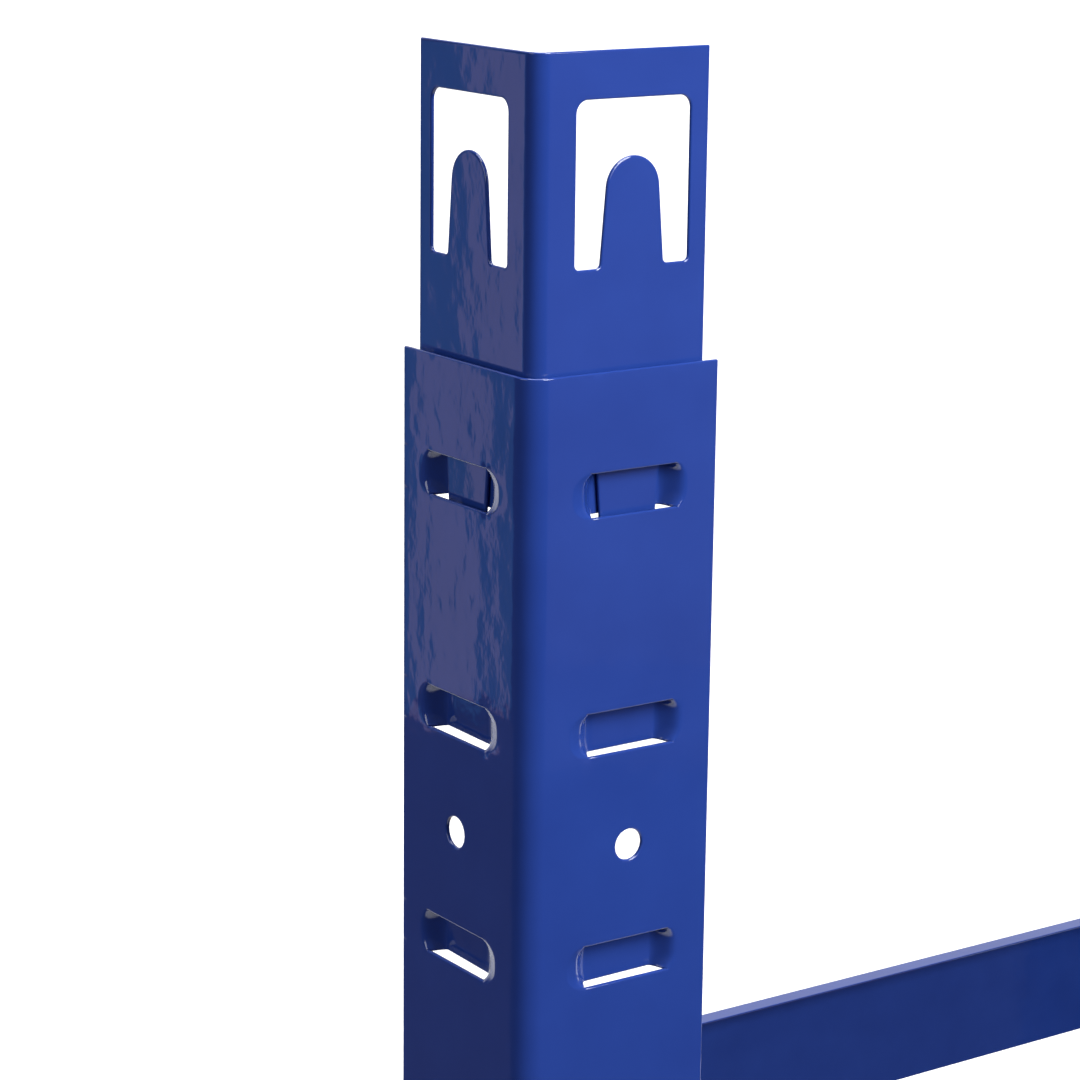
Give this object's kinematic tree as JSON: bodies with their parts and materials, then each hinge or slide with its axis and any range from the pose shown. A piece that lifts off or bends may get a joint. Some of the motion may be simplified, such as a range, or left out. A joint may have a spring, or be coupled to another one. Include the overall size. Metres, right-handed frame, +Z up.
{
  "type": "boltless shelving rack section",
  "caption": "Lower section of a hook-in blue steel shelving rack with slotted angle posts, splice connectors, lipped beams and a board on the lower level.",
  "frame": {"origin": "centre of the rack's footprint on the floor", "axes": "+X along the length, +Y from front to rear, +Z up"},
  "size_m": [0.9034, 0.4034, 0.9495],
  "materials": {
    "blue_steel": "glossy powder coat",
    "black_plastic": "matte",
    "board": "bare pressed board"
  },
  "bodies": {
    "frame": {"post_front_left": "blue_steel", "post_front_right": "blue_steel", "post_rear_right": "blue_steel", "post_rear_left": "blue_steel", "foot_front_left": "black_plastic", "foot_front_right": "black_plastic", "foot_rear_right": "black_plastic", "foot_rear_left": "black_plastic", "lower_beam_front": "blue_steel", "lower_beam_rear": "blue_steel", "lower_beam_left": "blue_steel", "lower_beam_right": "blue_steel"},
    "connector_front_left": {"connector_front_left": "blue_steel"},
    "connector_front_right": {"connector_front_right": "blue_steel"},
    "connector_rear_right": {"connector_rear_right": "blue_steel"},
    "connector_rear_left": {"connector_rear_left": "blue_steel"},
    "upper_beam_front": {"upper_beam_front": "blue_steel"},
    "upper_beam_rear": {"upper_beam_rear": "blue_steel"},
    "upper_beam_left": {"upper_beam_left": "blue_steel"},
    "upper_beam_right": {"upper_beam_right": "blue_steel"},
    "lower_board": {"lower_board": "board"}
  },
  "joints": [
    {"name": "connector_front_left_lift", "type": "slide", "parent": "frame", "child": "connector_front_left", "axis": [0, 0, 1], "range_m": [0, 0.017]},
    {"name": "connector_front_right_lift", "type": "slide", "parent": "frame", "child": "connector_front_right", "axis": [0, 0, 1], "range_m": [0, 0.017]},
    {"name": "connector_rear_right_lift", "type": "slide", "parent": "frame", "child": "connector_rear_right", "axis": [0, 0, 1], "range_m": [0, 0.017]},
    {"name": "connector_rear_left_lift", "type": "slide", "parent": "frame", "child": "connector_rear_left", "axis": [0, 0, 1], "range_m": [0, 0.017]},
    {"name": "upper_beam_front_lift", "type": "slide", "parent": "frame", "child": "upper_beam_front", "axis": [0, 0, 1], "range_m": [0, 0.017]},
    {"name": "upper_beam_rear_lift", "type": "slide", "parent": "frame", "child": "upper_beam_rear", "axis": [0, 0, 1], "range_m": [0, 0.017]},
    {"name": "upper_beam_left_lift", "type": "slide", "parent": "frame", "child": "upper_beam_left", "axis": [0, 0, 1], "range_m": [0, 0.017]},
    {"name": "upper_beam_right_lift", "type": "slide", "parent": "frame", "child": "upper_beam_right", "axis": [0, 0, 1], "range_m": [0, 0.017]},
    {"name": "lower_board_lift", "type": "slide", "parent": "frame", "child": "lower_board", "axis": [0, 0, 1], "range_m": [0, 0.1]}
  ]
}
